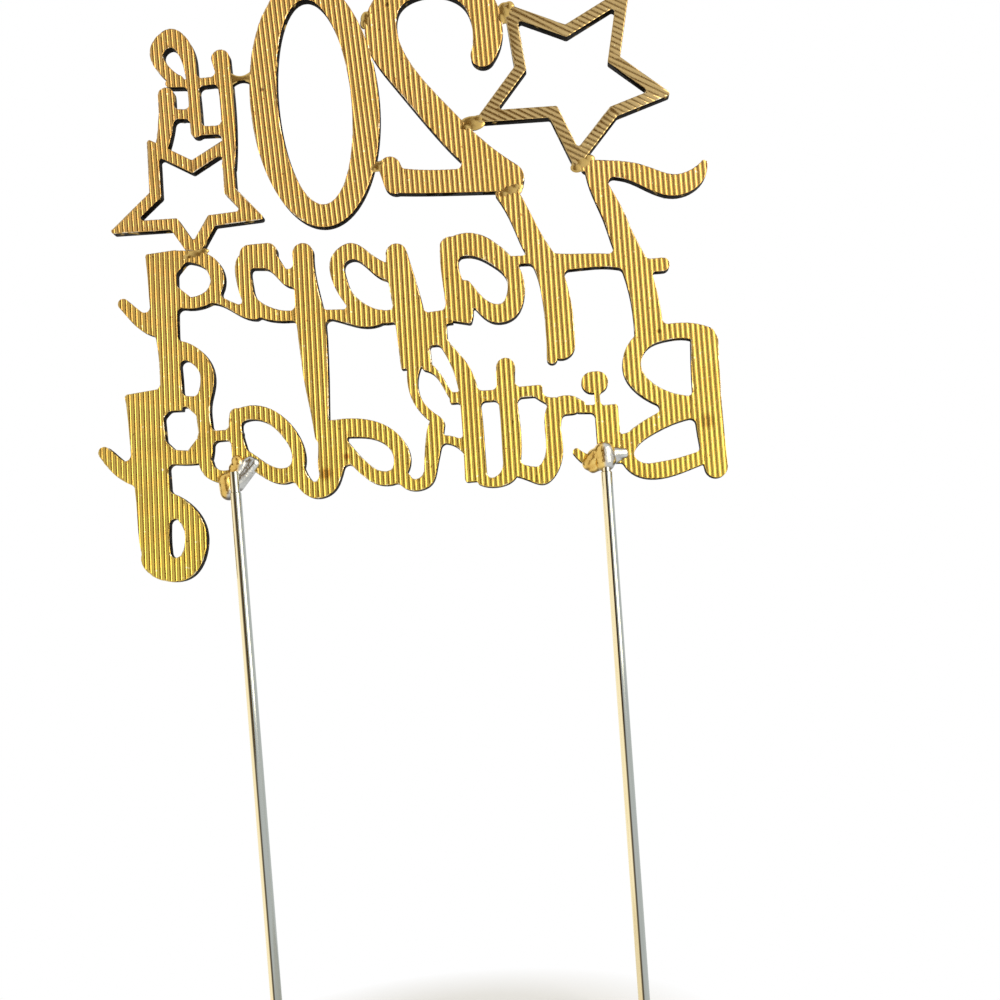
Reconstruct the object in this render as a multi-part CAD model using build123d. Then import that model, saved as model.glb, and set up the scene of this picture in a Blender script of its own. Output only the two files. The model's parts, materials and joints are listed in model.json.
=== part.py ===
"""Birthday cake topper: five cast letterings soldered into one panel, set with stones, on two pins.

The words read from the front, which faces -Y; +X is to the reader's right and +Z is up. The
origin lies at the top of the cake, midway between the pins and on their axes.
"""

import os
from math import dist, floor, radians, tan

from build123d import *

# Lettering
LETTERING_WIDTH = 115.0  # from the tip of the first flourish to the tip of the last tail
PLATE_THICKNESS = 2.0
STAR_EDGE = 0.125  # metal left on each side of the row of stones on a star
STAR_CORNER_RADIUS = 0.5
INSIDE_CORNER_RADIUS = 1.0  # where two strokes join, at the scale of the drawing below
OUTSIDE_CORNER_RADIUS = 0.6  # at the end of a square stroke, at the same scale
CORNER_WALL_SHARE = 0.33  # the most that a rounded corner takes of the shorter side beside it
CORNER_STEP = 0.1  # the steps in which a corner's radius gets smaller
SHARP_CORNER = 150  # degrees between two sides, over which a corner is left as it is
LEAST_CORNER_CUT = 0.02  # the least that a rounded corner takes of its sides, at the same scale
SAME_SPOT = 0.001  # two points nearer than this are one

# Stones
STONE_DIAMETER = 1.9
STONE_GAP = 0.15
STONE_GIRDLE = 0.4
STONE_CROWN = 0.8
STONE_TABLE_DIAMETER = 1.1

# Pins
PIN_DIAMETER = 2.0
PIN_DEPTH = 82.0  # how far a pin goes into the cake
PIN_POINT_LENGTH = 3.0
PIN_TIP_DIAMETER = 0.7
PIN_TOE_IN = 1.1  # degrees that each pin leans inwards going down
PIN_STUB = 1.0  # how far a pin reaches up past the middle of its solder joint
PIN_NECK_DIAMETER = 1.6  # where the solder grips it
PIN_NECK_BARE = 0.2  # neck left bare below the solder

# Solder
SOLDER_PAD_HEIGHT = 0.35  # over the back of the castings
SOLDER_PAD_DEPTH = 1.5  # into a gap between two castings
SOLDER_COVER = 0.5  # over the back of a pin
SOLDER_WING = 2.6  # beside a pin
TIE_BAR_WIDTH = 1.1
TIE_BAR_THICKNESS = 1.4

# Strokes: the ends (r for round, f for flat), then centre points as x, z and stroke width
TWO = [
    ("rr", [(-17.5, 92.4, 4.5), (-18.8, 97.5, 5.6), (-16.8, 104, 5.4), (-8.7, 107.7, 5.0),
            (-0.6, 104.4, 5.2), (1.0, 98, 6.0), (-2.2, 90.4, 5.0), (-8.0, 82, 5.2),
            (-13.5, 75, 5.6), (-20.4, 68.6, 5.6)]),
    ("rr", [(-20.6, 68.3, 4.6), (-13, 68.8, 4.5), (-3, 69.6, 4.5), (0.2, 70.1, 4.8)]),
    ("rr", [(0.4, 69.8, 4.4), (1.3, 72.7, 4.1)]),
]
ZERO_CENTRE = (14.4, 86.8)
ZERO_OUTSIDE = (12.0, 24.2)  # half width and half height
ZERO_INSIDE = (6.9, 19.9)
ZERO_LEAN = 2.0  # degrees
ORDINAL = [
    ("rr", [(31.5, 96.9, 3.4), (30.9, 91.5, 2.7), (30.8, 82, 2.6), (31.2, 76, 2.4)]),
    ("rr", [(31, 92.8, 1.5), (37, 92.7, 1.5), (41.4, 93, 1.5)]),
    ("rr", [(36.8, 83.2, 2.2), (36.9, 89, 2.1), (37.2, 94.5, 2.2), (38, 99, 2.9), (40.7, 101.8, 3.7),
            (43.4, 99.6, 2.7), (42.4, 96, 2.2), (39.6, 93.5, 1.9)]),
    ("rr", [(31.5, 83, 1.7), (36.8, 83.3, 1.7)]),
    ("rr", [(37.2, 86.6, 1.9), (42, 87.1, 1.9)]),
    ("rr", [(42.2, 90.8, 3.0), (42.4, 86, 2.9), (43.6, 80.6, 2.4)]),
]
SMALL_STAR = [(31.3, 80.2), (38, 76.5), (45.2, 80.9), (45.2, 71.8), (51.8, 66.2), (42, 65.9),
              (38.6, 60.2), (35, 65.9), (27.1, 66.2), (31.2, 71.2)]
LARGE_STAR = [(-44.2, 101.1), (-33.2, 95.4), (-23.3, 100.3), (-24.2, 89.1), (-17.0, 80.6), (-29.6, 80.2),
              (-33.1, 70.8), (-40.5, 79.1), (-49.4, 81.8), (-41.5, 89.0)]
HAPPY = [
    # H
    ("rr", [(-56, 67.7, 1.3), (-53.6, 65, 3.4), (-50.3, 64.2, 4.0), (-46.5, 65.6, 3.9), (-42, 67.8, 3.3),
            (-37.5, 68.7, 2.9), (-34.9, 69.4, 2.4)]),
    ("rf", [(-35.9, 68.4, 3.0), (-36.8, 65, 3.4), (-38.7, 60, 3.9), (-40.1, 55, 4.3), (-41.8, 50, 4.8),
            (-42.8, 45, 4.9), (-43.2, 40, 5.1), (-43, 36, 5.0)]),
    ("fr", [(-19.2, 66.9, 4.0), (-22.3, 60, 3.9), (-23.8, 56, 4.2), (-25.7, 52, 4.5), (-26.9, 47, 4.9),
            (-27.3, 41, 5.2), (-27.2, 36.6, 5.1)]),
    ("rr", [(-25.9, 38, 2.4), (-25.4, 34.3, 1.9)]),
    ("rr", [(-46.8, 49.7, 2.5), (-43, 50, 2.4), (-37, 51.4, 2.4), (-30, 51.8, 2.9), (-26, 52.3, 3.2)]),
    ("rr", [(-25, 52.8, 1.5), (-19.6, 53.1, 1.5)]),
    # a
    ("rr", [(-9.2, 56.4, 4.0), (-13.4, 56.5, 4.2), (-17, 54.1, 3.6), (-19.8, 50.3, 3.0), (-19.8, 46.5, 3.2),
            (-18.2, 43.9, 3.5), (-15.8, 43.6, 3.4), (-13.6, 45.2, 2.6), (-10.8, 49, 2.4)]),
    ("rf", [(-8.7, 56.6, 4.0), (-8.3, 52, 3.3), (-9.1, 47.6, 4.4), (-9.1, 42.6, 4.5)]),
    ("ff", [(-8, 43.8, 2.6), (-2, 43.6, 2.4)]),
    # first p
    ("rf", [(1.3, 56.3, 3.9), (0.8, 52, 4.8), (-0.1, 46, 5.4), (-0.6, 40, 5.6), (-0.8, 34.9, 5.6)]),
    ("rr", [(2.4, 53.3, 2.5), (6.2, 55.4, 2.4), (9.6, 57.6, 3.1), (12.1, 56, 2.8), (12.2, 53, 2.6),
            (11, 49.6, 2.3), (8.8, 46.9, 2.4), (6, 45.2, 2.4), (2, 45, 2.4)]),
    ("rr", [(5, 44.9, 2.6), (10, 45.3, 2.9), (13, 46, 2.0), (16.4, 46.4, 1.5)]),
    # second p
    ("rr", [(18.5, 58.1, 3.8), (18.4, 53, 4.0), (17.9, 46, 5.2), (17.7, 40, 5.0), (17.6, 35, 4.5),
            (17.4, 30, 3.6), (17.2, 24, 2.6)]),
    ("rr", [(19.8, 53.2, 2.3), (22.3, 54.3, 2.3), (24.4, 57, 3.2), (27, 58.3, 4.5), (29.4, 57, 3.4),
            (29.6, 53.5, 2.7), (28.7, 50, 2.5), (26.6, 48, 2.5), (23.8, 46.9, 2.1), (19.8, 46.7, 1.9)]),
    ("rr", [(25, 58.9, 3.5), (28.4, 58.9, 3.5)]),
    ("rr", [(28, 47.7, 2.3), (31, 48.7, 1.7), (33.8, 50.4, 1.4), (36, 51.2, 1.6)]),
    # y
    ("rr", [(42.6, 51.6, 2.0), (38.6, 50.8, 2.2), (35.4, 52.4, 2.5), (34.6, 55.2, 2.6), (36, 58, 2.6),
            (39, 59.4, 2.2), (43, 59.8, 2.2)]),
    ("ff", [(44.9, 60.8, 5.8), (44.8, 55, 5.3), (44.8, 49, 4.8), (44.5, 44, 3.9), (44.3, 38, 3.9), (44.4, 31, 3.9)]),
    ("rr", [(45.5, 46.8, 3.4), (49, 48.2, 2.9), (51, 50.2, 2.3), (52.3, 51.7, 2.0)]),
    ("rr", [(43.4, 42.6, 2.8), (39.8, 41, 2.9), (37.7, 38, 2.5), (37.7, 35, 2.5), (38.5, 32, 2.5),
            (38.5, 27, 2.5), (38.8, 22, 2.5)]),
    ("rr", [(40.7, 59.2, 1.6), (42.8, 56.9, 1.6)]),
    ("rr", [(40.6, 51.6, 1.6), (42.8, 53.6, 1.6)]),
    ("rr", [(38.6, 32.2, 2.0), (41.5, 32.5, 2.0), (44.5, 32.8, 2.6)]),
]
BIRTHDAY = [
    # B
    ("rr", [(-52.9, 34.8, 4.9), (-52.5, 28, 5.0), (-52.4, 20, 4.8), (-52.8, 12.2, 4.0)]),
    ("rr", [(-53.2, 35.8, 3.6), (-51, 36.9, 3.0), (-46, 37.2, 2.9), (-42.2, 36.2, 3.2), (-39.8, 33.2, 3.3),
            (-39.7, 30.3, 3.3), (-41.6, 27.4, 3.1), (-45, 25.1, 2.9), (-51, 23.4, 3.2)]),
    ("rr", [(-51, 23, 3.2), (-46, 22.1, 3.0), (-41.5, 20.3, 2.9), (-38.2, 18, 2.8), (-37.3, 15.4, 2.4),
            (-38.9, 13.1, 2.5), (-42.3, 12.4, 2.9), (-46.5, 13, 2.7), (-52, 14.4, 2.3)]),
    ("rr", [(-39, 18.6, 2.6), (-35.5, 17.8, 2.8)]),
    # i
    ("ff", [(-34.3, 25, 4.2), (-34.2, 14.4, 4.3)]),
    ("ff", [(-32.9, 28.5, 0.9), (-32.9, 24, 0.9)]),
    ("rr", [(-33.1, 29.3, 3.9), (-32.2, 29.3, 3.9)]),
    ("rr", [(-33, 24.4, 1.4), (-29.5, 24.7, 1.4)]),
    ("rr", [(-33.6, 14.8, 2.4), (-31, 15, 2.2), (-29.4, 15.9, 1.7), (-28.3, 17, 1.3)]),
    # r
    ("rr", [(-29.6, 25.2, 2.2), (-27.8, 25.6, 3.4), (-25.6, 25.2, 3.5), (-24.5, 22.5, 3.0), (-24.5, 18.5, 3.0),
            (-23.7, 15.3, 3.2), (-21.7, 13.4, 3.4), (-19.4, 14, 2.5), (-17.4, 14.6, 2.2)]),
    ("rr", [(-25.2, 26.4, 1.6), (-23.2, 27.2, 1.1), (-21.8, 28.6, 1.4)]),
    # t
    ("rr", [(-16.9, 33.5, 3.4), (-16.9, 25, 3.4), (-16.7, 17, 3.3), (-15.7, 13.9, 2.8), (-13.7, 12.9, 1.9),
            (-11, 13.3, 1.6)]),
    ("ff", [(-23.2, 28.7, 2.0), (-16.5, 28.7, 2.0)]),
    ("ff", [(-17, 28.5, 1.9), (-6.4, 28.8, 2.0)]),
    # h
    ("rf", [(-5.4, 40.4, 2.2), (-6.6, 38.2, 1.8), (-8.4, 35, 2.7), (-9.7, 31, 3.4), (-10.1, 26, 3.7),
            (-10.1, 20, 3.8), (-10, 13.3, 4.0)]),
    ("ff", [(-5, 44.4, 3.6), (-5, 38.7, 3.6)]),
    ("rr", [(-2.6, 35, 1.6), (-4.5, 33.4, 1.0), (-5.7, 31.2, 0.9), (-6.7, 29.2, 1.0)]),
    ("rr", [(-0.4, 35.2, 2.4), (0.1, 32, 1.8), (-0.4, 29.2, 1.6), (-2, 26.6, 1.6), (-3.8, 25, 1.6)]),
    ("rr", [(-3.7, 24.2, 2.8), (-2.9, 21, 3.0), (-2.1, 17, 2.4), (-1.1, 14.3, 2.3), (0.7, 13.6, 2.1),
            (3, 15, 2.4)]),
    ("rr", [(-9, 18.8, 1.8), (-6.4, 21, 1.5), (-3.4, 21.4, 1.5)]),
    # d
    ("rr", [(15.8, 25.2, 2.9), (11, 24.9, 3.4), (7, 23.9, 3.1), (4.1, 21.6, 2.9), (3, 18.4, 3.0), (4.3, 15.7, 2.7),
            (7.4, 15.5, 2.5), (9.9, 17.3, 2.3), (12.2, 20, 2.3), (13.6, 22, 2.3)]),
    ("fr", [(15.4, 26.6, 5.4), (15.5, 21, 5.2), (16.1, 17.5, 4.4), (17.2, 14.9, 3.6), (19.2, 14.3, 3.0),
            (21.2, 16, 2.6), (22, 19, 2.4)]),
    # a
    ("rr", [(32.4, 28.8, 2.6), (29.6, 29.4, 2.6), (26.2, 28.2, 2.6), (23.3, 25.1, 2.5), (21.8, 21.5, 2.3),
            (22.4, 18.3, 2.6), (24.6, 17.3, 2.8), (27.2, 18.1, 2.6), (29.6, 19.9, 2.4), (32, 21.8, 2.4)]),
    ("rr", [(32.6, 29.2, 2.5), (32.8, 25, 2.3), (32.4, 21.5, 2.8), (33.5, 18.5, 2.5), (36.2, 18.2, 2.3),
            (38.7, 20.8, 2.4)]),
    ("rr", [(32.6, 25.7, 1.9), (39, 25.7, 1.9)]),
    # y
    ("ff", [(49.6, 35, 6.8), (49.2, 28, 6.5), (49, 22, 6.6), (48.7, 15, 6.2), (48.9, 8, 5.5), (48.4, 3.5, 5.0)]),
    ("rr", [(51, 19.7, 4.2), (54, 20.9, 3.1), (56.2, 23.1, 2.6), (57.25, 24.4, 2.2)]),
    ("rr", [(39, 22.2, 2.4), (42, 22.2, 2.6), (46.5, 23, 2.6)]),
    ("rr", [(39.2, 25.2, 1.6), (41.2, 23, 1.6)]),
    ("rr", [(44.6, 23, 1.6), (46.6, 25.2, 1.6)]),
    ("rr", [(39, 30, 1.6), (41.2, 32.2, 1.6)]),
    ("rr", [(44.8, 32.2, 1.6), (46.6, 30.4, 1.6)]),
    ("rr", [(47.2, 15, 3.2), (43.6, 12.8, 3.5), (41.5, 9.4, 3.8), (41.6, 5.4, 4.0), (43.6, 2.4, 4.3),
            (46.4, 2.2, 4.4), (49, 4.4, 5.0)]),
]

# Solder pads over the seams: x, z, half width, half height, turn in degrees
PADS = {
    "solder_star_to_two_upper": (-22.3, 100.2, 1.5, 1.9, 0),
    "solder_star_to_two_lower": (-14.5, 79.6, 2.3, 1.1, -20),
    "solder_star_to_capital": (-34.1, 70, 1.9, 1.3, 20),
    "solder_two_to_capital": (-20.4, 66.2, 2.1, 1.1, 15),
    "solder_two_to_zero_upper": (3.6, 101.6, 1.0, 1.5, 0),
    "solder_two_to_zero_lower": (3.6, 73.2, 1.3, 0.9, 0),
    "solder_star_to_tail_letter": (38.6, 59.9, 2.2, 0.9, 0),
}
# The middle of the tie bar, and how long it is before its ends are cut to butt
TIE_BAR_CENTRE = (27.7, 92.75)
TIE_BAR_BLANK = 5.0
# The spots on the letters that the pins are soldered to
PIN_JOINTS = {"left": (-33.3, 15.6), "right": (33.34, 17.6)}

STAR_STROKE = STONE_DIAMETER + 2 * STAR_EDGE
PIN_RADIUS = PIN_DIAMETER / 2
PIN_LEAN = tan(radians(PIN_TOE_IN))
SOLDER_HEIGHT = PIN_DIAMETER + SOLDER_COVER
BACK_Y = -PIN_RADIUS
BACK = Plane(origin=(0, BACK_Y, 0), x_dir=(1, 0, 0), z_dir=(0, -1, 0))
FRONT = BACK.offset(PLATE_THICKNESS)
GREETING_POINTS = [point for _, points in HAPPY + BIRTHDAY for point in points]
DRAWN_RIGHT = max(x + width / 2 for x, _, width in GREETING_POINTS)
DRAWN_LEFT = min(x - width / 2 for x, _, width in GREETING_POINTS)
UNIT = LETTERING_WIDTH / (DRAWN_RIGHT - DRAWN_LEFT)  # millimetres to one unit of the drawing


def place(x, z):
    return Vector(x * UNIT, z * UNIT)


def curve(points):
    return Line(*points) if len(points) == 2 else Spline(*points)


def cap(kind, start, middle, end):
    return ThreePointArc(start, middle, end) if kind == "r" else Line(start, end)


def centre_line(stroke):
    return curve([place(x, z) for x, z, _ in stroke[1]])


def ribbon(stroke):
    """One stroke of a letter as a flat face of changing width."""
    ends, points = stroke
    line = centre_line(stroke)
    centres = [place(x, z) for x, z, _ in points]
    halves = [width * UNIT / 2 for _, _, width in points]
    along = [line.tangent_at(line.param_at_point(centre)) for centre in centres]
    across = [Vector(-t.Y, t.X) for t in along]
    left = [c + n * h for c, n, h in zip(centres, across, halves)]
    right = [c - n * h for c, n, h in zip(centres, across, halves)]
    tip = centres[-1] + along[-1] * halves[-1]
    tail = centres[0] - along[0] * halves[0]
    edges = [curve(left), cap(ends[1], left[-1], tip, right[-1])]
    edges += [curve(right[::-1]), cap(ends[0], right[0], tail, left[0])]
    return make_face(edges)


def lettering(strokes):
    return Sketch() + [ribbon(stroke) for stroke in strokes]


def flat(point):
    return point.X, point.Y


def sharp_corners(face):
    """Each sharp corner of a flat face, with its radius in steps, limited by the sides that meet there."""
    ends = []
    for edge in face.edges():
        ends.append((flat(edge.position_at(0)), edge.tangent_at(0), edge.length))
        ends.append((flat(edge.position_at(1)), -edge.tangent_at(1), edge.length))
    corners = []
    for spot in map(flat, face.vertices()):
        meeting = [(away, length) for end, away, length in ends if dist(end, spot) < SAME_SPOT]
        (first, first_length), (second, second_length) = meeting
        turn = first.get_angle(second)
        if turn < SHARP_CORNER:
            probe = Vector(*spot) + (first + second).normalized() * CORNER_STEP * UNIT
            wanted = OUTSIDE_CORNER_RADIUS if face.distance_to(probe) < SAME_SPOT else INSIDE_CORNER_RADIUS
            slope = tan(radians(turn / 2))
            wall = CORNER_WALL_SHARE * min(first_length, second_length) * slope
            steps = floor(min(wanted * UNIT, wall) / (CORNER_STEP * UNIT))
            if steps * CORNER_STEP > LEAST_CORNER_CUT * slope:
                corners.append((spot, steps))
    return corners


def softened(outline):
    """A flat outline with its sharp corners rounded, as metal flows in a mould."""
    face = outline.face()
    corners = sharp_corners(face)
    for steps in sorted({steps for _, steps in corners}, reverse=True):
        spots = [spot for spot, corner_steps in corners if corner_steps == steps]
        chosen = [vertex for vertex in face.vertices() if any(dist(flat(vertex), spot) < SAME_SPOT for spot in spots)]
        face = face.fillet_2d(steps * CORNER_STEP * UNIT, chosen)
    return Sketch() + face


def leaning_ellipse(radii):
    return Pos(*place(*ZERO_CENTRE)) * Rot(Z=-ZERO_LEAN) * Ellipse(radii[0] * UNIT, radii[1] * UNIT)


def moved_out(corners, amount):
    """A closed polygon with every side moved out by an amount, and its corners mitred."""
    before = corners[-1:] + corners[:-1]
    after = corners[1:] + corners[:1]
    moved = []
    for last, corner, following in zip(before, corners, after):
        into = (corner - last).normalized()
        away = (following - corner).normalized()
        normals = Vector(into.Y, -into.X) + Vector(away.Y, -away.X)
        moved.append(corner + normals * (amount / (1 + into.dot(away))))
    return make_face(Polyline(*moved, close=True))


def star(corners):
    """A star drawn in outline: its centre line widened by half a stroke to each side."""
    centres = [place(*corner) for corner in corners]
    half = STAR_STROKE / 2
    sides = sorted((moved_out(centres, amount) for amount in (half, -half)), key=lambda face: face.area)
    inside, outside = [fillet(side.vertices(), STAR_CORNER_RADIUS) for side in sides]
    return outside - inside


def width_along(stroke):
    """The stroke's width as a function of the share of its length."""
    line = centre_line(stroke)
    knots = [(line.param_at_point(place(x, z)), width * UNIT) for x, z, width in stroke[1]]

    def width_at(share):
        for (start, first), (end, second) in zip(knots, knots[1:]):
            if share <= end:
                return first + (second - first) * (share - start) / (end - start)
        return knots[-1][1]

    return width_at


def is_seated(spot, face, rim):
    """True if the whole girdle of a stone at this spot lies on the casting."""
    return rim.distance_to(spot) >= STONE_DIAMETER / 2 and face.distance_to(spot) < STONE_GAP


def set_stones(line, width_at, face, taken):
    """Sets stones in rows along a line, as many rows as its width takes."""
    pitch = STONE_DIAMETER + STONE_GAP
    count = max(1, floor(line.length / pitch))
    rim = Compound(face.edges())
    spots = []
    for station in range(count + 1):
        share = station / count
        centre, along = line.position_at(share), line.tangent_at(share)
        across = Vector(-along.Y, along.X)
        rows = floor((width_at(share) + STONE_GAP) / pitch)
        for row in range(rows):
            spot = centre + across * (row - (rows - 1) / 2) * pitch
            clear = all((spot - other).length > pitch - STONE_GAP / 2 for other in taken)
            if clear and is_seated(spot, face, rim):
                taken.append(spot)
                spots.append(spot)
    return spots


def stones_on_strokes(strokes, face, taken):
    spots = []
    for stroke in strokes:
        spots += set_stones(centre_line(stroke), width_along(stroke), face, taken)
    return spots


def stones_on_star(corners, face, taken):
    centres = [place(*corner) for corner in corners]
    spots = []
    for start, end in zip(centres, centres[1:] + centres[:1]):
        spots += set_stones(Line(start, end), lambda share: STAR_STROKE, face, taken)
    return spots


def stones_on_zero(face, taken):
    middle = [(outside + inside) / 2 for outside, inside in zip(ZERO_OUTSIDE, ZERO_INSIDE)]
    line = leaning_ellipse(middle).edges()[0]
    return set_stones(line, lambda share: (ZERO_OUTSIDE[1] - ZERO_INSIDE[1]) * UNIT, face, taken)


def stone():
    """A flat-backed brilliant: a round girdle, a sloping crown and a flat table."""
    seat = (Align.CENTER, Align.CENTER, Align.MIN)
    girdle = Cylinder(STONE_DIAMETER / 2, STONE_GIRDLE, align=seat)
    crown = Cone(STONE_DIAMETER / 2, STONE_TABLE_DIAMETER / 2, STONE_CROWN, align=seat)
    return girdle + Pos(0, 0, STONE_GIRDLE) * crown


def stones(spots):
    one = stone()
    return Compound([FRONT * Pos(spot.X, spot.Y) * one for spot in spots])


def casting(face):
    return extrude(BACK * face, amount=PLATE_THICKNESS)


def solder_pad(x, z, half_width, half_height, turn):
    """A flat drop of solder over a seam, which also fills what is open between the castings."""
    outline = Pos(*place(x, z)) * Rot(Z=turn) * Ellipse(half_width * UNIT, half_height * UNIT)
    gap = outline - zero_face - two_face - greeting_face - ordinal_face - star_face
    drop = extrude(BACK * outline, amount=SOLDER_PAD_HEIGHT, dir=(0, 1, 0))
    return drop + extrude(BACK * gap, amount=SOLDER_PAD_DEPTH)


def pin(side, joint):
    """A wire pin with a ground point and a thinner neck, laid on the back; side is -1 or 1."""
    head = joint + Vector(side * PIN_LEAN, 0, 1) * PIN_STUB
    down = Vector(-side * PIN_LEAN, 0, -1)
    shoulder = (PIN_STUB + SOLDER_HEIGHT + PIN_NECK_BARE) * down.length
    tip = (head.Z + PIN_DEPTH) * down.length
    seat = (Align.CENTER, Align.CENTER, Align.MIN)
    neck = Cylinder(PIN_NECK_DIAMETER / 2, shoulder, align=seat)
    shank = Cylinder(PIN_RADIUS, tip - PIN_POINT_LENGTH - shoulder, align=seat)
    point = Cone(PIN_RADIUS, PIN_TIP_DIAMETER / 2, PIN_POINT_LENGTH, align=seat)
    whole = neck + Pos(0, 0, shoulder) * shank + Pos(0, 0, tip - PIN_POINT_LENGTH) * point
    return Plane(origin=head, x_dir=(0, 1, 0), z_dir=down) * whole


def pin_joint(joint, held):
    """A lump of solder that runs out in a wing to each side of the pin."""
    half_ball = Sphere(1, arc_size3=180, align=(Align.CENTER, Align.MIN, Align.CENTER))
    lump = scale(half_ball, by=(PIN_RADIUS + SOLDER_WING, SOLDER_HEIGHT, SOLDER_HEIGHT))
    return Pos(joint.X, BACK_Y, joint.Z) * lump - held


def save(name, shape):
    export_step(shape, f"parts/{name}.step")


os.makedirs("parts", exist_ok=True)

# Flat outlines: where two castings meet, the later one is cut to butt against the earlier one
zero_face = leaning_ellipse(ZERO_OUTSIDE) - leaning_ellipse(ZERO_INSIDE)
two_face = softened(lettering(TWO)) - zero_face
greeting_face = softened(lettering(HAPPY + BIRTHDAY)) - two_face
ordinal_face = softened(lettering(ORDINAL)) + star(SMALL_STAR) - greeting_face
star_face = star(LARGE_STAR) - two_face - greeting_face

save("numeral_zero", casting(zero_face))
save("numeral_two", casting(two_face))
save("ordinal_casting", casting(ordinal_face))
save("greeting_casting", casting(greeting_face))
save("large_star", casting(star_face))

# Stones on the front
taken = []
save("stones_zero", stones(stones_on_zero(zero_face.face(), taken)))
save("stones_two", stones(stones_on_strokes(TWO, two_face.face(), taken)))
ordinal_spots = stones_on_strokes(ORDINAL, ordinal_face.face(), taken)
save("stones_ordinal", stones(ordinal_spots))
save("stones_small_star", stones(stones_on_star(SMALL_STAR, ordinal_face.face(), taken)))
save("stones_large_star", stones(stones_on_star(LARGE_STAR, star_face.face(), taken)))
save("stones_happy", stones(stones_on_strokes(HAPPY, greeting_face.face(), taken)))
save("stones_birthday", stones(stones_on_strokes(BIRTHDAY, greeting_face.face(), taken)))
print("stones", len(taken))

# Solder over the seams, and the bar that ties the zero to the ordinal
for name, sizes in PADS.items():
    save(name, solder_pad(*sizes))
bar_blank = Pos(*place(*TIE_BAR_CENTRE)) * Rectangle(TIE_BAR_BLANK * UNIT, TIE_BAR_WIDTH)
bar_face = bar_blank - zero_face - ordinal_face
bar_plane = BACK.offset((PLATE_THICKNESS - TIE_BAR_THICKNESS) / 2)
save("tie_bar", extrude(bar_plane * bar_face, amount=TIE_BAR_THICKNESS))

# Pins and their solder joints
for name, side in (("left", -1), ("right", 1)):
    spot = place(*PIN_JOINTS[name])
    joint = Vector(spot.X, 0, spot.Y)
    wire = pin(side, joint)
    save(f"pin_{name}", wire)
    save(f"pin_joint_{name}", pin_joint(joint, wire))
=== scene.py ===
"""A birthday cake topper seen from its back: cast gold lettering, stones, solder and two wire pins."""

import json
import random
from math import cos, floor, pi, radians, sin, sqrt

import bmesh
import bpy
from mathutils import Matrix, Vector


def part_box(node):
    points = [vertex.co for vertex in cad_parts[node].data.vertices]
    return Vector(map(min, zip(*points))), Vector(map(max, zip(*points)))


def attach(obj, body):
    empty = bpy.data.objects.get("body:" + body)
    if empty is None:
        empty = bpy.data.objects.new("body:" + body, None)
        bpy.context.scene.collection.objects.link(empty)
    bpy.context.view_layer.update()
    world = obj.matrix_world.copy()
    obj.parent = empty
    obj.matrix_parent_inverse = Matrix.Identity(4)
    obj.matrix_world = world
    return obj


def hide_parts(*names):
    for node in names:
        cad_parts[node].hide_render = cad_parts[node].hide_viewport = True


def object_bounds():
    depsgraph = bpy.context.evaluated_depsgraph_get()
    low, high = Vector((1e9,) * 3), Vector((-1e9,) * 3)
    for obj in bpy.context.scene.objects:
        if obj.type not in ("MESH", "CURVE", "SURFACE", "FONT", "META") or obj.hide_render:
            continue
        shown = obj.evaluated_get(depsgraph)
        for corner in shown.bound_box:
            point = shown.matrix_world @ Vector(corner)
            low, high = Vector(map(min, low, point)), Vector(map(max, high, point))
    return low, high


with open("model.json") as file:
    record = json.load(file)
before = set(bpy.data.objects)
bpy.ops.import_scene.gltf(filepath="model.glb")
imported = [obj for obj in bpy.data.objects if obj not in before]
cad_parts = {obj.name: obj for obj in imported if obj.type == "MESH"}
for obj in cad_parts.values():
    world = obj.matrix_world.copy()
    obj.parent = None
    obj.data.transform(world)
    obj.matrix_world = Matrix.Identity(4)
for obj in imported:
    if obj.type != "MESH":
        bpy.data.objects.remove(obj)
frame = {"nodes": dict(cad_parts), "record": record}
cad_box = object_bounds()

# Cast letterings
# Five thin zinc castings, plated with gold. The mould left fine ribs across each back, and the ribs
# run another way on each casting. The sides are painted near black as shade, and the fronts are smooth.
MM = 0.001
RIB_PITCH = 0.92 * MM
RIB_DEPTH = 0.2 * MM
HATCH_DEPTH = 0.08 * MM
RIM = 0.18 * MM
RIM_DROP = 0.12 * MM
BACK_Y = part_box("greeting_casting")[1].y
SAME_SPOT = 1e-6  # metres: points nearer than this are one
CUT_GRIP = 1e-9  # metres: a cut takes up a point nearer than this
# How far the top of each casting's ribs leans to +X, in degrees
RIB_LEANS = {
    "greeting_casting": -1.0,
    "numeral_two": 0.4,
    "numeral_zero": 2.9,
    "ordinal_casting": 1.4,
    "large_star": 58.0,
}
# Pits and stains on the backs: x and z, how far each reaches in millimetres, and its colour
MARKS = (
    (-0.5, 104.0, 0.55, "#2E1C08"), (24.0, 90.0, 0.55, "#2E1C08"), (-45.0, 37.5, 0.6, "#3A260C"),
    (17.0, 17.0, 1.5, "#7A5218"), (13.0, 19.8, 0.8, "#8A4A1C"), (-52.0, 20.5, 1.8, "#8C6F34"),
)
# Where a rib is cut, as shares of the pitch: rounded ribs, and flat ones with a thin groove between
ROUND_CUTS = (0.0, 0.1, 0.22, 0.36, 0.5, 0.64, 0.78, 0.9)
GROOVE_SHARE = 0.12
FLAT_CUTS = (0.0, GROOVE_SHARE / 2, GROOVE_SHARE, 1 - GROOVE_SHARE, 1 - GROOVE_SHARE / 2)


def linear(code):
    """An sRGB hex colour as the linear values that a shader takes."""
    parts = [int(code[start:start + 2], 16) / 255 for start in (1, 3, 5)]
    return [part / 12.92 if part <= 0.04045 else ((part + 0.055) / 1.055) ** 2.4 for part in parts] + [1.0]


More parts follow.
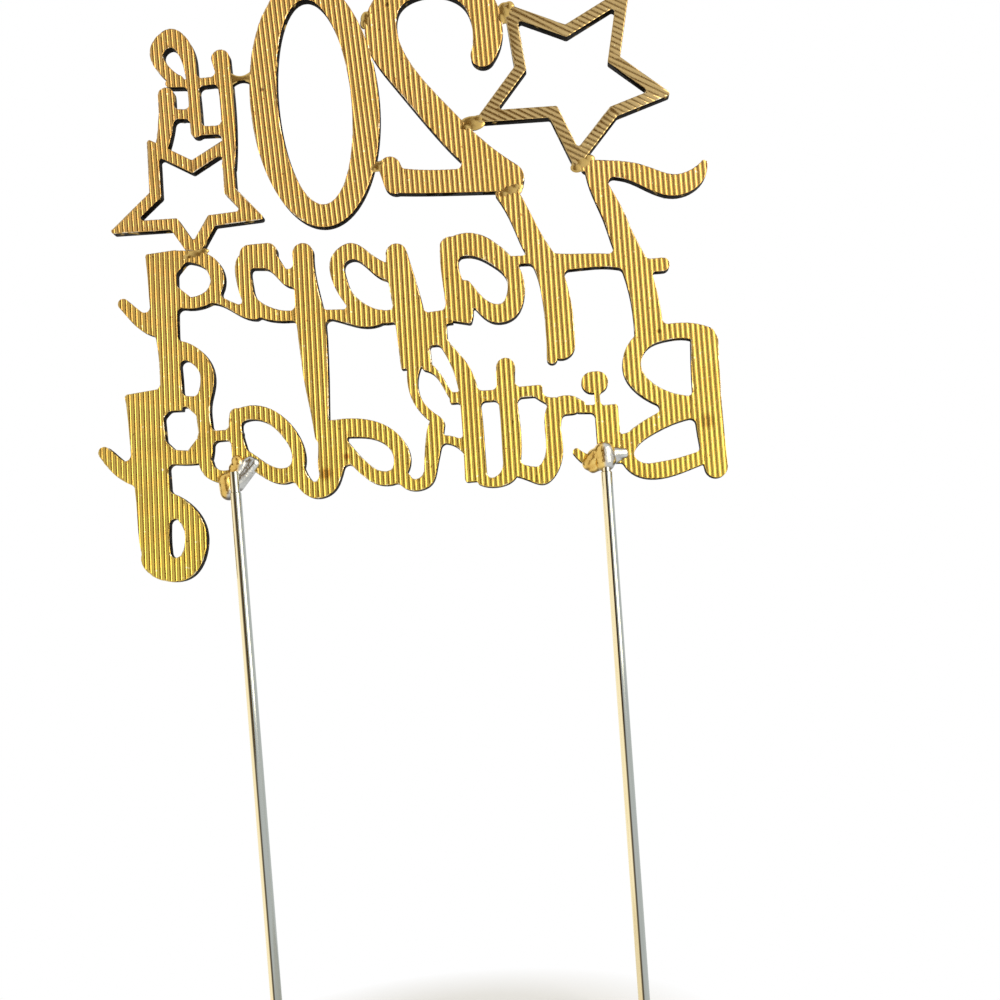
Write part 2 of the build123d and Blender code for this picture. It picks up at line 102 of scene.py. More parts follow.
def add(tree, kind, sockets, **settings):
    """Adds a node with its settings; each of its sockets takes a value or another node's output."""
    made = tree.nodes.new(kind)
    for name, value in settings.items():
        setattr(made, name, value)
    for name, value in sockets.items():
        if isinstance(value, bpy.types.NodeSocket):
            tree.links.new(value, made.inputs[name])
        else:
            made.inputs[name].default_value = value
    return made


def new_finish(name, **uniform):
    """A material and its parts; uniform values go on the shader's own sockets."""
    finish = bpy.data.materials.new(name)
    finish.use_nodes = True
    tree = finish.node_tree
    shader = tree.nodes["Principled BSDF"]
    for socket, value in uniform.items():
        shader.inputs[socket.replace("_", " ")].default_value = value
    place = add(tree, "ShaderNodeTexCoord", {}).outputs["Object"]
    return finish, tree, shader, place


def cast_gold_back(name, low_gold, high_gold, patch_gold):
    """Gold plate on a cast back: mid gold where it mirrors the room, browner towards the top as painted
    reflection, painted shade in the grooves, gritty, painted glints on the rim.
    """
    finish, tree, shader, place = new_finish(name, Metallic=1.0)
    # Painted reflection: the gold runs from low_gold at the bottom to high_gold at the top.
    height = add(tree, "ShaderNodeSeparateXYZ", {"Vector": place}).outputs["Z"]
    rise = add(tree, "ShaderNodeMapRange", {"Value": height, "From Min": 5 * MM, "From Max": 70 * MM})
    gold = add(tree, "ShaderNodeMix", {0: rise.outputs["Result"], 6: linear(low_gold), 7: linear(high_gold)},
               data_type="RGBA")
    cloud = add(tree, "ShaderNodeTexNoise", {"Vector": place, "Scale": 1 / (7 * MM), "Detail": 4.0})
    patch = add(tree, "ShaderNodeMapRange",
                {"Value": cloud.outputs["Fac"], "From Min": 0.42, "From Max": 0.72, "To Max": 0.5})
    toned = add(tree, "ShaderNodeMix",
                {0: patch.outputs["Result"], 6: gold.outputs[2], 7: linear(patch_gold)}, data_type="RGBA")
    # Painted shade: the grooves between the ribs darken towards brown.
    groove = add(tree, "ShaderNodeAttribute", {}, attribute_name="groove").outputs["Fac"]
    groove_shade = add(tree, "ShaderNodeMapRange",
               {"Value": groove, "From Min": 0.4, "From Max": 1.0, "To Max": 0.25})
    dark = add(tree, "ShaderNodeMix",
               {0: groove_shade.outputs["Result"], 6: toned.outputs[2], 7: linear("#84601E")}, data_type="RGBA")
    # Pinholes and bright scuffs of about a third of a millimetre
    grit = add(tree, "ShaderNodeTexNoise", {"Vector": place, "Scale": 1 / (0.9 * MM), "Detail": 2.0})
    pit = add(tree, "ShaderNodeMapRange",
              {"Value": grit.outputs["Fac"], "From Min": 0.31, "From Max": 0.25, "To Max": 0.7})
    pitted = add(tree, "ShaderNodeMix",
                 {0: pit.outputs["Result"], 6: dark.outputs[2], 7: linear("#4A3110")}, data_type="RGBA")
    scuff = add(tree, "ShaderNodeMapRange",
                {"Value": grit.outputs["Fac"], "From Min": 0.69, "From Max": 0.76, "To Max": 0.8})
    scuffed = add(tree, "ShaderNodeMix",
                  {0: scuff.outputs["Result"], 6: pitted.outputs[2], 7: linear("#F3E3B0")}, data_type="RGBA")
    # Pale specks along the rim of the back: painted glints
    edge = add(tree, "ShaderNodeAttribute", {}, attribute_name="edge").outputs["Fac"]
    speck = add(tree, "ShaderNodeMapRange",
                {"Value": grit.outputs["Fac"], "From Min": 0.44, "From Max": 0.52})
    edge_glint = add(tree, "ShaderNodeMath", {0: edge, 1: speck.outputs["Result"]}, operation="MULTIPLY")
    colour = add(tree, "ShaderNodeMix", {0: edge_glint.outputs[0], 6: scuffed.outputs[2], 7: linear("#FFF8E4")},
                 data_type="RGBA").outputs[2]
    for x, z, reach, tint in MARKS:
        spot = Vector((x * MM, BACK_Y, z * MM))
        away = add(tree, "ShaderNodeVectorMath", {0: place, 1: spot}, operation="DISTANCE").outputs["Value"]
        share = add(tree, "ShaderNodeMapRange",
                    {"Value": away, "From Min": 0.4 * reach * MM, "From Max": reach * MM, "To Min": 0.75,
                     "To Max": 0.0})
        colour = add(tree, "ShaderNodeMix", {0: share.outputs["Result"], 6: colour, 7: linear(tint)},
                     data_type="RGBA").outputs[2]
    tree.links.new(colour, shader.inputs["Base Color"])
    rough = add(tree, "ShaderNodeMapRange",
                {"Value": cloud.outputs["Fac"], "From Min": 0.3, "From Max": 0.7, "To Min": 0.16,
                 "To Max": 0.3})
    tree.links.new(rough.outputs["Result"], shader.inputs["Roughness"])
    fine = add(tree, "ShaderNodeTexNoise", {"Vector": place, "Scale": 1 / (0.45 * MM), "Detail": 3.0})
    bump = add(tree, "ShaderNodeBump",
               {"Height": fine.outputs["Fac"], "Strength": 0.35, "Distance": 0.05 * MM})
    tree.links.new(bump.outputs["Normal"], shader.inputs["Normal"])
    return finish


def painted_shade_side():
    """The sides, dull and painted near black as shade, with a few pale streaks as painted reflections."""
    finish, tree, shader, place = new_finish("painted_shade_side", Roughness=0.5, Specular_IOR_Level=0.02)
    reflection_streak = add(tree, "ShaderNodeTexNoise", {"Vector": place, "Scale": 1 / (2.2 * MM), "Detail": 3.0})
    share = add(tree, "ShaderNodeMapRange",
                {"Value": reflection_streak.outputs["Fac"], "From Min": 0.62, "From Max": 0.7})
    colour = add(tree, "ShaderNodeMix",
                 {0: share.outputs["Result"], 6: linear("#110D08"), 7: linear("#A58A50")}, data_type="RGBA")
    tree.links.new(colour.outputs[2], shader.inputs["Base Color"])
    return finish


def smooth_gold_front():
    """Gold plate on a tumbled face: even and bright, with the faint waves of a cast skin."""
    finish, tree, shader, place = new_finish("smooth_gold_front", Metallic=1.0)
    cloud = add(tree, "ShaderNodeTexNoise", {"Vector": place, "Scale": 1 / (3 * MM), "Detail": 5.0})
    colour = add(tree, "ShaderNodeMix", {0: cloud.outputs["Fac"], 6: linear("#D9B45A"), 7: linear("#BE9442")},
                 data_type="RGBA")
    tree.links.new(colour.outputs[2], shader.inputs["Base Color"])
    rough = add(tree, "ShaderNodeMapRange", {"Value": cloud.outputs["Fac"], "To Min": 0.12, "To Max": 0.32})
    tree.links.new(rough.outputs["Result"], shader.inputs["Roughness"])
    bump = add(tree, "ShaderNodeBump",
               {"Height": cloud.outputs["Fac"], "Strength": 0.3, "Distance": 0.1 * MM})
    tree.links.new(bump.outputs["Normal"], shader.inputs["Normal"])
    return finish


def finish_piece(name, bm, finishes, sharp=40):
    """Turns a bmesh into a shaded object of that name; edges over the sharp angle stay crisp."""
    for face in bm.faces:
        face.smooth = True
    mesh = bpy.data.meshes.new(name)
    bm.to_mesh(mesh)
    bm.free()
    mesh.set_sharp_from_angle(angle=radians(sharp))
    for finish in finishes:
        mesh.materials.append(finish)
    piece = bpy.data.objects.new(name, mesh)
    bpy.context.scene.collection.objects.link(piece)
    return piece


def cut_in_strips(bm, faces, across, offsets):
    """Cuts faces at a sorted run of parallel planes, halving the run so that each cut meets few faces."""
    if not faces or not offsets:
        return
    middle = len(offsets) // 2
    edges = {edge for face in faces for edge in face.edges}
    verts = {vert for face in faces for vert in face.verts}
    cut = bmesh.ops.bisect_plane(bm, geom=[*verts, *edges, *faces], dist=CUT_GRIP,
                                 plane_co=across * offsets[middle], plane_no=across)
    pieces = [part for part in cut["geom"] if isinstance(part, bmesh.types.BMFace)]
    sides = {True: [], False: []}
    for face in pieces:
        sides[face.calc_center_median().dot(across) < offsets[middle]].append(face)
    cut_in_strips(bm, sides[True], across, offsets[:middle])
    cut_in_strips(bm, sides[False], across, offsets[middle + 1:])


def groove_share(phase, flat_topped):
    """How deep a rib's surface lies at a phase across it, from 0 at the crest to 1 in the groove."""
    if flat_topped:
        return max(0.0, 1 - min(phase, 1 - phase) / GROOVE_SHARE)
    return 1 - sqrt(max(0.0, 1 - (2 * phase - 1) ** 2))


rich_gold = cast_gold_back("cast_gold_back", "#CBB054", "#C09A5C", "#B49048")
# The star's duller khaki gold is a painted reflection.
dull_gold = cast_gold_back("cast_gold_hatched", "#BFA470", "#BFA470", "#AC925C")
dark_side = painted_shade_side()
plain_front = smooth_gold_front()
BACK_FINISH, SIDE_FINISH, FRONT_FINISH = range(3)  # their order on a casting
for node, lean in RIB_LEANS.items():
    flat_topped = node == "large_star"
    across = Vector((cos(radians(lean)), 0, -sin(radians(lean))))
    bm = bmesh.new()
    bm.from_mesh(frame["nodes"][node].data)
    bmesh.ops.remove_doubles(bm, verts=bm.verts, dist=SAME_SPOT)
    back = [face for face in bm.faces if face.normal.y > 0.5]
    for face in bm.faces:
        face.material_index = SIDE_FINISH if abs(face.normal.y) < 0.5 else FRONT_FINISH
    for face in back:
        face.material_index = BACK_FINISH
    # The rim of each back is marked for the painted glints.
    edge_glint = bm.verts.layers.float.new("edge")
    outer = [vert for vert in bm.verts if vert.co.y > BACK_Y - SAME_SPOT]
    inset = bmesh.ops.inset_region(bm, faces=back, thickness=RIM, use_boundary=True, use_even_offset=True)
    for vert in outer:
        if any(face.normal.y < 0.5 for face in vert.link_faces):
            vert.co.y -= RIM_DROP
            vert[edge_glint] = 1.0
    back += inset["faces"]
    reach = [vert.co.dot(across) / RIB_PITCH for vert in bm.verts]
    ribs = range(floor(min(reach)), floor(max(reach)) + 1)
    cuts = FLAT_CUTS if flat_topped else ROUND_CUTS
    cut_in_strips(bm, back, across, [(rib + cut) * RIB_PITCH for rib in ribs for cut in cuts])
    depth = bm.verts.layers.float.new("groove")
    for vert in bm.verts:
        if vert.co.y > BACK_Y - SAME_SPOT:
            vert[depth] = groove_share(vert.co.dot(across) / RIB_PITCH % 1, flat_topped)
            vert.co.y -= (HATCH_DEPTH if flat_topped else RIB_DEPTH) * vert[depth]
    back_gold = dull_gold if flat_topped else rich_gold
    piece = finish_piece(f"{node}_plated", bm, [back_gold, dark_side, plain_front])
    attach(piece, "root")
    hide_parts(node)

# Stones
# Flat-backed glass stones with a foil, glued in rows over the fronts. Each has a round girdle, a
# ring of kite facets and a table, pressed in a mould.
STONE_NODES = ("zero", "two", "ordinal", "small_star", "large_star", "happy", "birthday")
GIRDLE_SIDES = 16
CROWN_SIDES = 8
# Shares of a stone's height, and of its radius
GIRDLE_HEIGHT = 0.36
CROWN_HEIGHT = 0.68
CROWN_RADIUS = 0.83
TABLE_RADIUS = 0.58


def foiled_glass():
    """Pressed glass over silver foil: each facet's shade, grey-blue to white, is a painted reflection of
    another part of the room.
    """
    finish, tree, shader, place = new_finish(
        "foiled_glass", Metallic=0.55, Roughness=0.04, Coat_Weight=1.0, Coat_Roughness=0.02)
    flash = add(tree, "ShaderNodeAttribute", {}, attribute_name="flash").outputs["Fac"]
    ramp = add(tree, "ShaderNodeMix",
               {0: flash, 6: linear("#8E9AA6"), 7: linear("#FBFCFF")}, data_type="RGBA")
    cloud = add(tree, "ShaderNodeTexNoise", {"Vector": place, "Scale": 1 / (1.5 * MM), "Detail": 2.0})
    warm = add(tree, "ShaderNodeMapRange",
               {"Value": cloud.outputs["Fac"], "From Min": 0.5, "From Max": 0.8, "To Max": 0.5})
    colour = add(tree, "ShaderNodeMix", {0: warm.outputs["Result"], 6: ramp.outputs[2], 7: linear("#E9DFC0")},
                 data_type="RGBA")
    tree.links.new(colour.outputs[2], shader.inputs["Base Color"])
    return finish


def islands(mesh):
    """The corners of the box round each separate solid of a mesh."""
    bm = bmesh.new()
    bm.from_mesh(mesh)
    bmesh.ops.remove_doubles(bm, verts=bm.verts, dist=SAME_SPOT)
    left = set(bm.verts)
    boxes = []
    while left:
        group = [left.pop()]
        for vert in group:
            for edge in vert.link_edges:
                other = edge.other_vert(vert)
                if other in left:
                    left.remove(other)
                    group.append(other)
        spots = [vert.co for vert in group]
        boxes.append((Vector(map(min, zip(*spots))), Vector(map(max, zip(*spots)))))
    bm.free()
    return sorted(boxes, key=lambda box: tuple(box[0]))


def add_gem(bm, low, high, turn):
    """One stone that fills a box: its flat back on the casting, its table towards -Y."""
    radius = (high.x - low.x) / 2
    height = high.y - low.y
    middle = Vector(((low.x + high.x) / 2, high.y, (low.z + high.z) / 2))
    rings = (
        (GIRDLE_SIDES, 1.0, 0.0, 0.0), (GIRDLE_SIDES, 1.0, GIRDLE_HEIGHT, 0.0),
        (CROWN_SIDES, CROWN_RADIUS, CROWN_HEIGHT, 0.5), (CROWN_SIDES, TABLE_RADIUS, 1.0, 0.0),
    )
    corners = []
    for count, share, rise, skew in rings:
        for step in range(count):
            angle = turn + 2 * pi * (step + skew) / count
            spot = Vector((cos(angle) * radius * share, -height * rise, sin(angle) * radius * share))
            corners.append(bm.verts.new(middle + spot))
    bmesh.ops.convex_hull(bm, input=corners)


glass = foiled_glass()
sparkle = random.Random(20)
for word in STONE_NODES:
    node = f"stones_{word}"
    bm = bmesh.new()
    flash = bm.faces.layers.float.new("flash")
    for low, high in islands(frame["nodes"][node].data):
        add_gem(bm, low, high, sparkle.random() * pi / 4)
    bmesh.ops.recalc_face_normals(bm, faces=bm.faces)
    bmesh.ops.dissolve_limit(bm, angle_limit=radians(1), verts=bm.verts, edges=bm.edges)
    # Each facet gets a random share of the painted reflection, grey-blue to white.
    for face in bm.faces:
        face[flash] = sparkle.random()
    piece = finish_piece(f"{node}_cut", bm, [glass], sharp=8)
    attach(piece, "root")
    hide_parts(node)

# Solder over the seams
# Where two castings meet, a drop of solder was run into the seam from behind and plated over, so
# it hides the ribs there as a smooth, dull patch.
SOLDER_DROP = 0.06 * MM
SOLDER_SINK = 0.4 * MM
VOXEL = 0.12 * MM
PAD_SETTLING = 10
# Shares of the solid pad's half sizes: what fills the seam, the patch over it, and two runs beside it
PAD_CORE = 0.7
PAD_SPREAD = 1.15
PAD_RUN = 0.7
PAD_RUN_ASIDE = 0.6
PAD_RUN_DOWN = 0.5


def plated_solder():
    """Solder under gold plate: khaki gold, smooth and a little wavy."""
    finish, tree, shader, place = new_finish("plated_solder", Metallic=1.0)
    cloud = add(tree, "ShaderNodeTexNoise", {"Vector": place, "Scale": 1 / (1.6 * MM), "Detail": 3.0})
    colour = add(tree, "ShaderNodeMix", {0: cloud.outputs["Fac"], 6: linear("#D0B26A"), 7: linear("#B8985A")},
                 data_type="RGBA")
    tree.links.new(colour.outputs[2], shader.inputs["Base Color"])
    rough = add(tree, "ShaderNodeMapRange", {"Value": cloud.outputs["Fac"], "To Min": 0.14, "To Max": 0.34})
    tree.links.new(rough.outputs["Result"], shader.inputs["Roughness"])
    bump = add(tree, "ShaderNodeBump",
               {"Height": cloud.outputs["Fac"], "Strength": 0.25, "Distance": 0.1 * MM})
    tree.links.new(bump.outputs["Normal"], shader.inputs["Normal"])
    return finish


def run_together(name, lobes, finish, settling):
    """Drops of metal, each a centre and three radii in metres, melted into a skin that settles smooth."""
    bm = bmesh.new()
    for centre, radii in lobes:
        shape = Matrix.Translation(centre) @ Matrix.Diagonal((*radii, 1))
        bmesh.ops.create_icosphere(bm, subdivisions=3, radius=1, matrix=shape)
    rough = finish_piece(f"{name}_rough", bm, [])
    melt = rough.modifiers.new("melt", "REMESH")
    melt.mode = "VOXEL"
    melt.voxel_size = VOXEL
    settle = rough.modifiers.new("settle", "SMOOTH")
    settle.factor = 0.5
    settle.iterations = settling
    depsgraph = bpy.context.evaluated_depsgraph_get()
    bm = bmesh.new()
    bm.from_mesh(bpy.data.meshes.new_from_object(rough.evaluated_get(depsgraph)))
    bpy.data.objects.remove(rough)
    return finish_piece(name, bm, [finish], sharp=60)


khaki = plated_solder()
for node in sorted(frame["nodes"]):
    if not node.startswith("solder_"):
        continue
    low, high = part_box(node)
    middle = (low + high) / 2
    half = (high - low) / 2
    depth = (BACK_Y - low.y) / 2
    core = Vector((middle.x, low.y + depth, middle.z))
    lobes = [(core, (PAD_CORE * half.x, depth, PAD_CORE * half.z))]
    for side, spread in ((0, PAD_SPREAD), (-1, PAD_RUN), (1, PAD_RUN)):
        run = Vector((middle.x + side * half.x * PAD_RUN_ASIDE, BACK_Y - SOLDER_SINK,
                      middle.z - side * half.z * PAD_RUN_DOWN))
        lobes.append((run, (half.x * spread, SOLDER_SINK + SOLDER_DROP, half.z * spread)))
    piece = run_together(f"{node}_run", lobes, khaki, PAD_SETTLING)
    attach(piece, "root")
    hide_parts(node)

# Tie bar
# A short cast bar holds the zero to the small letters. Solder has crept along it, so it flares
# towards both ends.
FLARE = 1.7
BAR_OVERLAP = 0.25 * MM
BAR_ROUNDING = 0.35 * MM
BAR_CUTS = 9
SHADED_UNDERSIDE = -0.6  # a face whose normal's z is below this is dark, as painted shade


def edges_along_x(bm):
    """The edges of the bar that run along it."""
    return [edge for edge in bm.edges if abs(edge.verts[0].co.x - edge.verts[1].co.x) > SAME_SPOT]


low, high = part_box("tie_bar")
middle = (low + high) / 2
bar_size = high - low + Vector((2 * BAR_OVERLAP, 0, 0))
bm = bmesh.new()
bmesh.ops.create_cube(bm, size=1, matrix=Matrix.Translation(middle) @ Matrix.Diagonal((*bar_size, 1)))
bmesh.ops.bevel(bm, geom=edges_along_x(bm), offset=BAR_ROUNDING, segments=3, profile=0.5, affect="EDGES",
                material=-1)
bmesh.ops.subdivide_edges(bm, edges=edges_along_x(bm), cuts=BAR_CUTS, use_grid_fill=True)
for vert in bm.verts:
    along = (vert.co.x - middle.x) / (bar_size.x / 2)
    vert.co.z = middle.z + (vert.co.z - middle.z) * (1 + FLARE * along ** 2)
bm.normal_update()
for face in bm.faces:
    # Painted shade: faces that look down take the near-black side finish.
    face.material_index = 1 if face.normal.z < SHADED_UNDERSIDE else 0
piece = finish_piece("tie_bar_flared", bm, [khaki, dark_side])
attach(piece, "root")
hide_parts("tie_bar")

# Pins
# Two straight lengths of hard wire, ground to a point, plated gold. One side is painted pale grey and the
# other bright gold, with a dark line between: painted reflections.
PIN_RADIUS = 1.0 * MM
NECK_RADIUS = 0.8 * MM
TIP_RADIUS = 0.35 * MM
POINT = 3.0 * MM
PIN_SIDES = 48
SHOULDER_SLOPE = 0.15 * MM
TIP_ROUNDING = 0.2 * MM
TIP_FLAT = 0.6 * TIP_RADIUS
TIP_LIFT = 0.01 * MM  # keeps the leaning tip inside the solid's box
DARK_LINE = 0.12  # how far the dark line lies to the gold side, as a share of the radius


def reflection_painted_wire():
    """Drawn wire: pale grey on one side, bright gold on the other and a dark line between, all painted
    reflections, with fine lines along it.
    """
    finish, tree, shader, place = new_finish("reflection_painted_wire", Metallic=1.0, Roughness=0.12)
    reflection_side = add(tree, "ShaderNodeAttribute", {}, attribute_name="reflection_side").outputs["Fac"]
    share = add(tree, "ShaderNodeMapRange", {"Value": reflection_side, "From Min": 0.0, "From Max": 0.2})
    drawn = add(tree, "ShaderNodeMapping", {"Vector": place, "Scale": (1, 1, 0.02)})
    line = add(tree, "ShaderNodeTexNoise", {"Vector": drawn.outputs["Vector"], "Scale": 1 / (0.25 * MM)})
    pale = add(tree, "ShaderNodeMix", {0: line.outputs["Fac"], 6: linear("#B6BBB6"), 7: linear("#A2A7A3")},
               data_type="RGBA")
    gold = add(tree, "ShaderNodeMix", {0: line.outputs["Fac"], 6: linear("#FFF2CC"), 7: linear("#F4DFA8")},
               data_type="RGBA")
    colour = add(tree, "ShaderNodeMix", {0: share.outputs["Result"], 6: pale.outputs[2], 7: gold.outputs[2]},
                 data_type="RGBA")
    # Painted reflection: a dark line just to the gold side of the split.
    off_line = add(tree, "ShaderNodeMath", {0: reflection_side, 1: DARK_LINE}, operation="SUBTRACT").outputs[0]
    away = add(tree, "ShaderNodeMath", {0: off_line}, operation="ABSOLUTE").outputs[0]
    dark_reflection_line = add(tree, "ShaderNodeMapRange",
                {"Value": away, "From Min": 0.08, "From Max": 0.24, "To Min": 0.92, "To Max": 0.0})
    lined = add(tree, "ShaderNodeMix",
                {0: dark_reflection_line.outputs["Result"], 6: colour.outputs[2], 7: linear("#3B2E1C")}, data_type="RGBA")
    tree.links.new(lined.outputs[2], shader.inputs["Base Color"])
    return finish


wire = reflection_painted_wire()
mounts = {mount["name"]: mount for mount in frame["record"]["mounts"]}
for side in ("left", "right"):
    node = f"pin_{side}"
    low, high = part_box(node)
    foot = Vector(mounts[node]["pos_m"])
    down = Vector(mounts[node]["axis"]).normalized()
    top = (high.z - foot.z) / down.z
    tip = (low.z - foot.z) / down.z - TIP_LIFT
    shoulder = tip - POINT - mounts[node]["dims"]["length_mm"] * MM
    outline = [(0, top), (NECK_RADIUS, top), (NECK_RADIUS, shoulder), (PIN_RADIUS, shoulder + SHOULDER_SLOPE)]
    outline += [(PIN_RADIUS, tip - POINT), (TIP_RADIUS, tip - TIP_ROUNDING), (TIP_FLAT, tip), (0, tip)]
    sideways = Vector((0, 1, 0))
    bm = bmesh.new()
    spots = [bm.verts.new(foot + down * along + sideways * radius) for radius, along in outline]
    edges = [bm.edges.new(pair) for pair in zip(spots, spots[1:])]
    bmesh.ops.spin(bm, geom=spots + edges, cent=foot, axis=down, dvec=(0, 0, 0), angle=2 * pi,
                   steps=PIN_SIDES, use_merge=True)
    bmesh.ops.remove_doubles(bm, verts=bm.verts, dist=SAME_SPOT)
    bmesh.ops.recalc_face_normals(bm, faces=bm.faces)
    reflection_side = bm.verts.layers.float.new("reflection_side")
    for vert in bm.verts:
        out = vert.co - foot - down * (vert.co - foot).dot(down)
        vert[reflection_side] = out.x / PIN_RADIUS
    piece = finish_piece(f"{node}_wire", bm, [wire], sharp=30)
    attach(piece, "root")
    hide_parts(node)

# Solder that holds the pins
# Each pin lies in a blob of bright solder on the back of a letter. The blob ran out to both sides,
# and like the wire it is painted gold on one side and silver on the other, as reflections.
RUN_DROPS = 9
LUMP_SETTLING = 16
# Runs of solder: x, y, z and radius where each starts and where it ends, in millimetres
LUMPS = {
    "left": (
        ((-31.6, -1.2, 15.8, 1.6), (-30.4, -1.3, 14.7, 1.3)),
        ((-32.4, -1.2, 14.6, 1.2), (-31.0, -1.3, 13.9, 1.0)),
        ((-33.8, -1.2, 16.1, 1.5), (-36.6, -1.5, 16.0, 1.1)),
        ((-34.0, -1.2, 15.0, 1.1), (-35.6, -1.5, 15.3, 0.9)),
        ((-33.2, -0.6, 14.8, 1.9), (-33.2, -0.7, 16.5, 1.9)),
    ),
    "right": (
        ((35.1, -1.2, 17.4, 1.5), (34.8, -1.2, 15.3, 1.6)),
        ((32.8, -0.6, 20.7, 1.1), (32.6, -0.6, 20.2, 1.2)),
        ((33.2, -1.2, 16.6, 1.5), (29.8, -1.4, 20.0, 1.1)),
        ((33.2, -1.2, 18.6, 1.5), (30.6, -1.4, 20.6, 1.0)),
        ((33.3, -1.2, 16.4, 1.4), (33.3, -1.2, 19.4, 1.3)),
    ),
}
# Where the painted gold begins: x and z of a point, and how far the line leans to -X for each millimetre up
SEAMS = {"left": (-33.1, 15.5, 0.0), "right": (33.6, 17.0, 0.5)}


def reflection_painted_solder():
    """Bright solder: silver on one side of the pin and warm gold with bright painted highlights on the other,
    both painted reflections, wrinkled as it set.
    """
    finish, tree, shader, place = new_finish("reflection_painted_solder", Metallic=1.0)
    reflection_side = add(tree, "ShaderNodeAttribute", {}, attribute_name="reflection_side").outputs["Fac"]
    wrinkle = add(tree, "ShaderNodeTexNoise", {"Vector": place, "Scale": 1 / (1.4 * MM), "Detail": 3.0})
    share = add(tree, "ShaderNodeMapRange", {"Value": reflection_side, "From Min": -0.3, "From Max": 0.3})
    silver = add(tree, "ShaderNodeMix",
                 {0: wrinkle.outputs["Fac"], 6: linear("#D8DAD8"), 7: linear("#9A9A94")}, data_type="RGBA")
    golden = add(tree, "ShaderNodeMix",
                 {0: wrinkle.outputs["Fac"], 6: linear("#FFE28A"), 7: linear("#C28A2C")}, data_type="RGBA")
    colour = add(tree, "ShaderNodeMix",
                 {0: share.outputs["Result"], 6: silver.outputs[2], 7: golden.outputs[2]}, data_type="RGBA")
    # Painted shade: the undersides darken to brown
    under = add(tree, "ShaderNodeAttribute", {}, attribute_name="under").outputs["Fac"]
    underside_shade = add(tree, "ShaderNodeMapRange",
                {"Value": under, "From Min": 0.55, "From Max": 0.85, "To Max": 0.85})
    shaded = add(tree, "ShaderNodeMix",
                 {0: underside_shade.outputs["Result"], 6: colour.outputs[2], 7: linear("#3A2E20")}, data_type="RGBA")
    tree.links.new(shaded.outputs[2], shader.inputs["Base Color"])
    rough = add(tree, "ShaderNodeMapRange", {"Value": wrinkle.outputs["Fac"], "To Min": 0.12, "To Max": 0.4})
    tree.links.new(rough.outputs["Result"], shader.inputs["Roughness"])
    bump = add(tree, "ShaderNodeBump",
               {"Height": wrinkle.outputs["Fac"], "Strength": 0.6, "Distance": 0.35 * MM})
    tree.links.new(bump.outputs["Normal"], shader.inputs["Normal"])
    return finish


reflection_solder = reflection_painted_solder()
for side, runs in LUMPS.items():
    node = f"pin_joint_{side}"
    lobes = []
    for start, end in runs:
        for drop in range(RUN_DROPS):
            x, y, z, radius = Vector(start).lerp(Vector(end), drop / (RUN_DROPS - 1)) * MM
            lobes.append((Vector((x, y, z)), (radius, radius, radius)))
    piece = run_together(f"{node}_lump", lobes, reflection_solder, LUMP_SETTLING)
    seam_x, seam_z, slant = SEAMS[side]
    reflection_side = [vert.co.x / MM - seam_x + slant * (vert.co.z / MM - seam_z) for vert in piece.data.vertices]
    under = [-vert.normal.z for vert in piece.data.vertices]
    for name, values in (("reflection_side", reflection_side), ("under", under)):
        piece.data.attributes.new(name, "FLOAT", "POINT").data.foreach_set("value", values)
    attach(piece, "root")
    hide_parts(node)

# Floor
# A plain white sheet under the tips of the pins. It takes the shadow near them and runs out to
# pure white further off.
SHEET_HALF_WIDTH = 4
FADE_START = 25 * MM
FADE_END = 45 * MM
bm = bmesh.new()
bmesh.ops.create_grid(bm, x_segments=1, y_segments=1, size=SHEET_HALF_WIDTH,
                      matrix=Matrix.Translation((0, 0, cad_box[0].z)))
finish, tree, shader, place = new_finish("white_sheet", Roughness=0.9, Base_Color=linear("#F4F4F2"))
path = add(tree, "ShaderNodeLightPath", {})
seen = add(tree, "ShaderNodeMath", {0: path.outputs["Is Camera Ray"], 1: path.outputs["Is Glossy Ray"]},
           operation="MAXIMUM")
level = add(tree, "ShaderNodeVectorMath", {0: place, 1: (1, 1, 0)}, operation="MULTIPLY").outputs["Vector"]
far = add(tree, "ShaderNodeVectorMath", {0: level}, operation="LENGTH").outputs["Value"]
fade = add(tree, "ShaderNodeMapRange", {"Value": far, "From Min": FADE_START, "From Max": FADE_END})
white = add(tree, "ShaderNodeMath", {0: seen.outputs[0], 1: fade.outputs["Result"]}, operation="MULTIPLY")
glow = add(tree, "ShaderNodeEmission", {"Color": (1, 1, 1, 1), "Strength": 1.0})
sheet = add(tree, "ShaderNodeMixShader", {0: white.outputs[0], 1: shader.outputs["BSDF"], 2: glow.outputs[0]})
tree.links.new(sheet.outputs[0], tree.nodes["Material Output"].inputs["Surface"])
finish_piece("floor", bm, [finish])

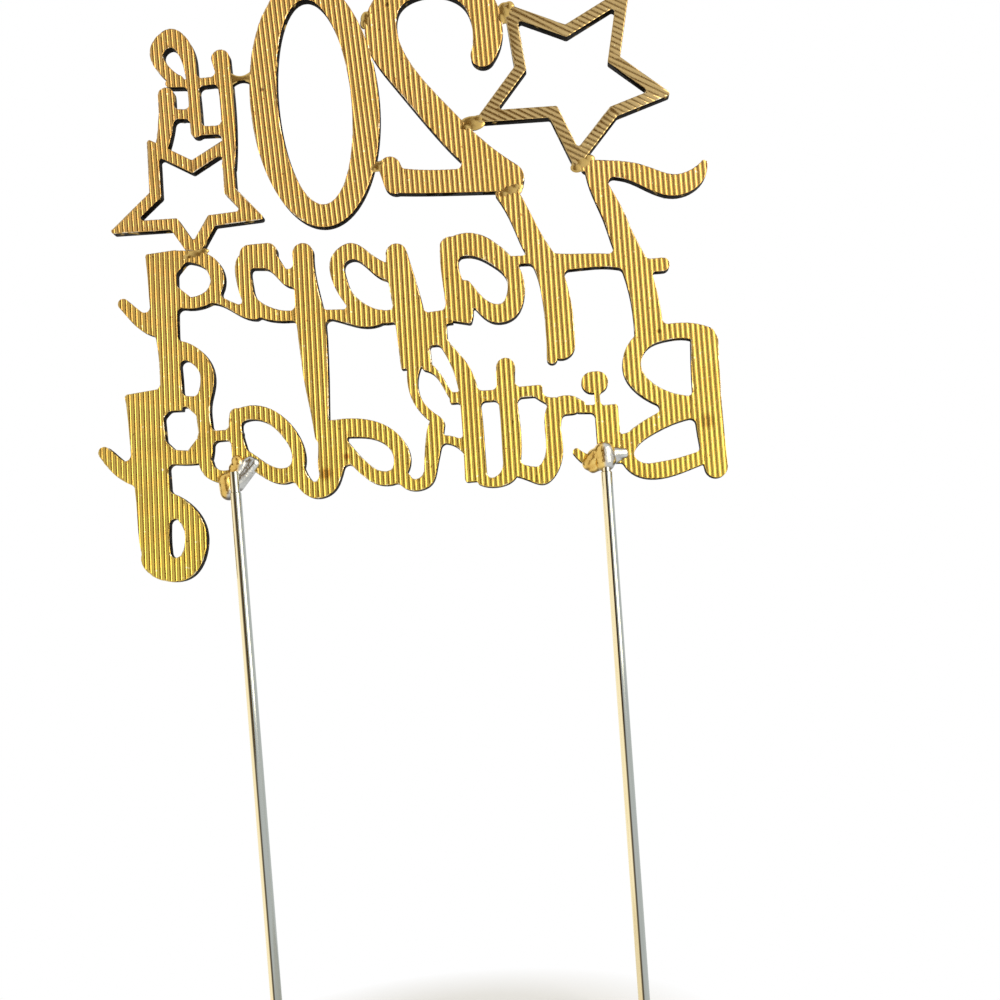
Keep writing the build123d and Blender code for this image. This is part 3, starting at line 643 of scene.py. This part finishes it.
# Light
# A white room seen in the metal, a tall strip lamp beside the back that draws one bright line on
# each rib, and a brown card, hung as a flag near the camera, that draws the dark one.
DIFFUSE_STRENGTH = 0.7
LAMP_PLACE = Vector((-0.4, 0.36, 0.08))
LAMP_AIM = Vector((0, 0, 0.05))
LAMP_WATTS = 3.4
FLAG_PLACE = Vector((0.05, 0.26, 0.05))
FLAG_HALF_HEIGHT = 0.5
FLAG_ASPECT = 0.12  # width over height
world = bpy.data.worlds.new("white_room")
bpy.context.scene.world = world
world.use_nodes = True
tree = world.node_tree
path = add(tree, "ShaderNodeLightPath", {})
seen = add(tree, "ShaderNodeMath", {0: path.outputs["Is Camera Ray"], 1: path.outputs["Is Glossy Ray"]},
           operation="MAXIMUM")
through = add(tree, "ShaderNodeMath", {0: seen.outputs[0], 1: path.outputs["Is Transmission Ray"]},
              operation="MAXIMUM")
strength = add(tree, "ShaderNodeMapRange",
               {"Value": through.outputs[0], "To Min": DIFFUSE_STRENGTH, "To Max": 1.0})
tree.links.new(strength.outputs["Result"], tree.nodes["Background"].inputs["Strength"])
tree.nodes["Background"].inputs["Color"].default_value = (1, 1, 1, 1)

lamp = bpy.data.lights.new("side_strip", "AREA")
lamp.shape = "RECTANGLE"
lamp.size = 0.3
lamp.size_y = 0.8
lamp.energy = LAMP_WATTS
lamp.color = linear("#FFF1D6")[:3]
holder = bpy.data.objects.new("side_strip", lamp)
holder.location = LAMP_PLACE
holder.rotation_euler = (LAMP_AIM - LAMP_PLACE).to_track_quat("-Z", "Y").to_euler()
bpy.context.scene.collection.objects.link(holder)

upright = Matrix.Rotation(radians(90), 4, "X") @ Matrix.Diagonal((FLAG_ASPECT, 1, 1, 1))
bm = bmesh.new()
bmesh.ops.create_grid(bm, x_segments=1, y_segments=1, size=FLAG_HALF_HEIGHT,
                      matrix=Matrix.Translation(FLAG_PLACE) @ upright)
finish = new_finish("brown_card", Roughness=1.0, Base_Color=linear("#8E6E2C"))[0]
flag = finish_piece("flag", bm, [finish])
flag.visible_camera = False
flag.visible_shadow = False
flag.visible_diffuse = False

# Camera
# It stands close behind the topper, a little below its middle, and looks slightly up.
CAMERA_PLACE = Vector((-23.63, 229.66, -14.73)) * MM
CAMERA_RIGHT = Vector((-0.995403, -0.050338, -0.081490))
CAMERA_UP = Vector((-0.086236, 0.100696, 0.991173))
lens = bpy.data.cameras.new("camera")
lens.sensor_width = 36.0
lens.lens = 46.8
lens.clip_start = 0.01
camera = bpy.data.objects.new("camera", lens)
turn = Matrix((CAMERA_RIGHT, CAMERA_UP, CAMERA_RIGHT.cross(CAMERA_UP))).transposed()
camera.matrix_world = Matrix.Translation(CAMERA_PLACE) @ turn.to_4x4()
bpy.context.scene.collection.objects.link(camera)
bpy.context.scene.camera = camera
bpy.context.scene.view_settings.view_transform = "Standard"
